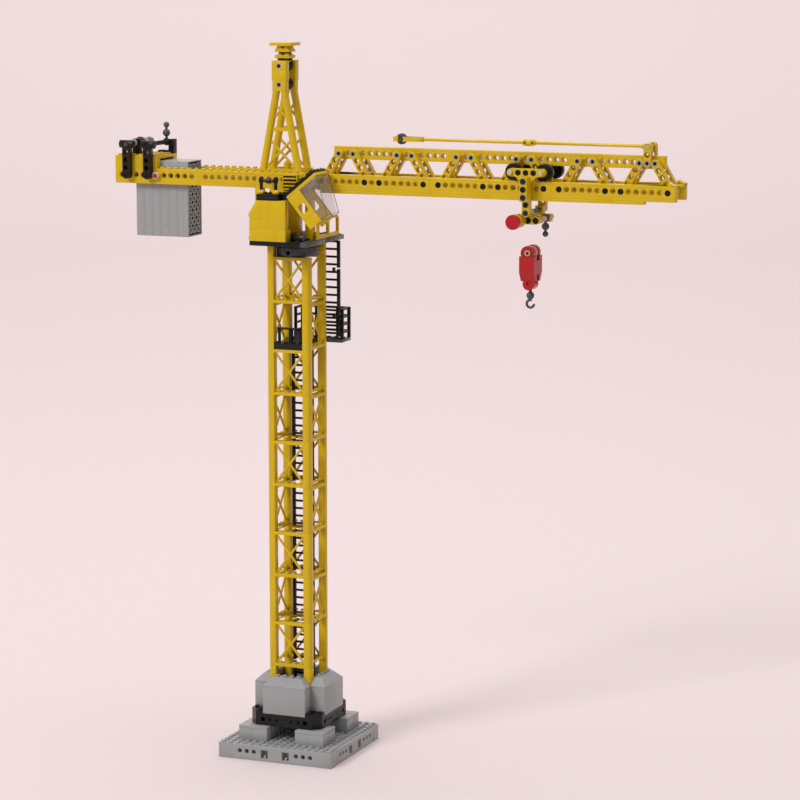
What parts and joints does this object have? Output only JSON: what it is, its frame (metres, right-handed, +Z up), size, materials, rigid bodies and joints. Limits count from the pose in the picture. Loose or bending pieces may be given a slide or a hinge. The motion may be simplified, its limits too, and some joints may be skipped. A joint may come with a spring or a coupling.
{
  "type": "toy tower crane",
  "caption": "Brick-built toy tower crane: studded base, braced lattice mast, slewing deck with tipping cab, lattice jib with trolley and hook block, counterweight.",
  "frame": {"origin": "centre of the base's underside, which is the slewing axis at floor level", "axes": "+Z up along the mast, +X along the jib at rest, +Y towards the side with the ladder"},
  "size_m": [0.608, 0.128, 0.743],
  "materials": {
    "yellow_plastic": "moulded ABS, gloss",
    "light_grey_plastic": "moulded ABS, gloss",
    "dark_grey_plastic": "moulded ABS, gloss",
    "black_plastic": "moulded ABS, gloss",
    "clear_plastic": "clear moulded plastic",
    "red_plastic": "moulded ABS, gloss",
    "tan_plastic": "moulded ABS, gloss",
    "blue_plastic": "moulded ABS, gloss"
  },
  "bodies": {
    "tower": {"base_plate": "light_grey_plastic", "corner_blocks": "light_grey_plastic", "chassis_frame": "black_plastic", "pedestal_walls": "light_grey_plastic", "pedestal_slopes": "light_grey_plastic", "tower_posts": "yellow_plastic", "tower_section_1": "yellow_plastic", "tower_section_2": "yellow_plastic", "tower_section_3": "yellow_plastic", "tower_section_4": "yellow_plastic", "tower_section_5": "yellow_plastic", "tower_section_6": "yellow_plastic", "tower_section_7": "yellow_plastic", "tower_section_8": "yellow_plastic", "tower_section_9": "yellow_plastic", "inner_platform": "black_plastic", "outer_platform": "dark_grey_plastic", "outer_railing": "black_plastic", "ladders": "black_plastic", "turntable_base": "dark_grey_plastic"},
    "upper_works": {"turntable_top": "black_plastic", "deck_plate": "dark_grey_plastic", "deck_railing": "yellow_plastic", "operator_station": "black_plastic", "house_wall": "yellow_plastic", "house_roof": "black_plastic", "roof_vents": "black_plastic", "house_columns": "yellow_plastic", "cab_hinge": "black_plastic", "counter_jib_beams": "yellow_plastic", "jib_beams": "yellow_plastic", "beam_plates": "yellow_plastic", "winch_mount": "yellow_plastic", "winch_supports": "black_plastic", "counterweight": "light_grey_plastic", "upper_chord": "yellow_plastic", "jib_links": "yellow_plastic", "link_pins": "black_plastic", "head_frames": "yellow_plastic", "head_blocks": "yellow_plastic", "head_beacon": "yellow_plastic"},
    "cab": {"cab_shell": "yellow_plastic", "cab_roof": "black_plastic", "cab_windscreen": "clear_plastic"},
    "control_lever": {"control_lever": "dark_grey_plastic"},
    "winch_drum": {"winch_drum": "dark_grey_plastic"},
    "head_sheave_upper": {"head_sheave_upper": "dark_grey_plastic"},
    "head_sheave_lower": {"head_sheave_lower": "dark_grey_plastic"},
    "tie_bar": {"tie_bar": "yellow_plastic"},
    "tie_sheave": {"tie_sheave": "dark_grey_plastic"},
    "trolley": {"trolley_frame": "yellow_plastic", "trolley_pins": "blue_plastic", "hoist_motor": "yellow_plastic"},
    "inner_wheels": {"inner_wheels": "black_plastic"},
    "outer_wheels": {"outer_wheels": "black_plastic"},
    "hoist_shaft": {"hoist_shaft": "tan_plastic"},
    "hook_block": {"hook_block": "red_plastic"},
    "block_sheave": {"block_sheave": "tan_plastic"},
    "hook": {"hook": "dark_grey_plastic"}
  },
  "joints": [
    {"name": "slew", "type": "hinge", "parent": "tower", "child": "upper_works", "pos_m": [0, 0, 0.534], "axis": [0, 0, 1], "continuous": true},
    {"name": "cab_tilt", "type": "hinge", "parent": "upper_works", "child": "cab", "pos_m": [0.01384, -0.04, 0.58933], "axis": [0, -1, 0], "range_deg": [-39.5, 5]},
    {"name": "lever_rock", "type": "hinge", "parent": "upper_works", "child": "control_lever", "pos_m": [0.0274, -0.0436, 0.546], "axis": [0, 1, 0], "range_deg": [-20, 20]},
    {"name": "winch_turn", "type": "hinge", "parent": "upper_works", "child": "winch_drum", "pos_m": [-0.18, 0, 0.6362], "axis": [0, 1, 0], "continuous": true},
    {"name": "upper_sheave_turn", "type": "hinge", "parent": "upper_works", "child": "head_sheave_upper", "pos_m": [-0.012, 0, 0.7195], "axis": [0, 1, 0], "continuous": true},
    {"name": "lower_sheave_turn", "type": "hinge", "parent": "upper_works", "child": "head_sheave_lower", "pos_m": [-0.012, 0, 0.7005], "axis": [0, 1, 0], "continuous": true},
    {"name": "tie_bar_lift", "type": "hinge", "parent": "upper_works", "child": "tie_bar", "pos_m": [0.38, 0, 0.6479], "axis": [0, 1, 0], "range_deg": [0, 25]},
    {"name": "tie_sheave_turn", "type": "hinge", "parent": "tie_bar", "child": "tie_sheave", "pos_m": [0.117, 0, 0.6479], "axis": [0, 1, 0], "continuous": true},
    {"name": "trolley_travel", "type": "slide", "parent": "upper_works", "child": "trolley", "axis": [1, 0, 0], "range_m": [-0.176, 0.112]},
    {"name": "inner_wheel_roll", "type": "hinge", "parent": "trolley", "child": "inner_wheels", "pos_m": [0.244, 0, 0.6202], "axis": [0, 1, 0], "continuous": true},
    {"name": "outer_wheel_roll", "type": "hinge", "parent": "trolley", "child": "outer_wheels", "pos_m": [0.276, 0, 0.6202], "axis": [0, 1, 0], "continuous": true},
    {"name": "hoist", "type": "slide", "parent": "trolley", "child": "hook_block", "axis": [0, 0, 1], "range_m": [-0.44, 0.006]},
    {"name": "hoist_shaft_turn", "type": "hinge", "parent": "trolley", "child": "hoist_shaft", "pos_m": [0.268, 0, 0.5722], "axis": [0, 1, 0], "continuous": true},
    {"name": "block_sheave_turn", "type": "hinge", "parent": "hook_block", "child": "block_sheave", "pos_m": [0.256, 0, 0.5382], "axis": [0, 1, 0], "continuous": true},
    {"name": "hook_swivel", "type": "hinge", "parent": "hook_block", "child": "hook", "pos_m": [0.256, 0, 0.4953], "axis": [0, 0, 1], "continuous": true}
  ]
}
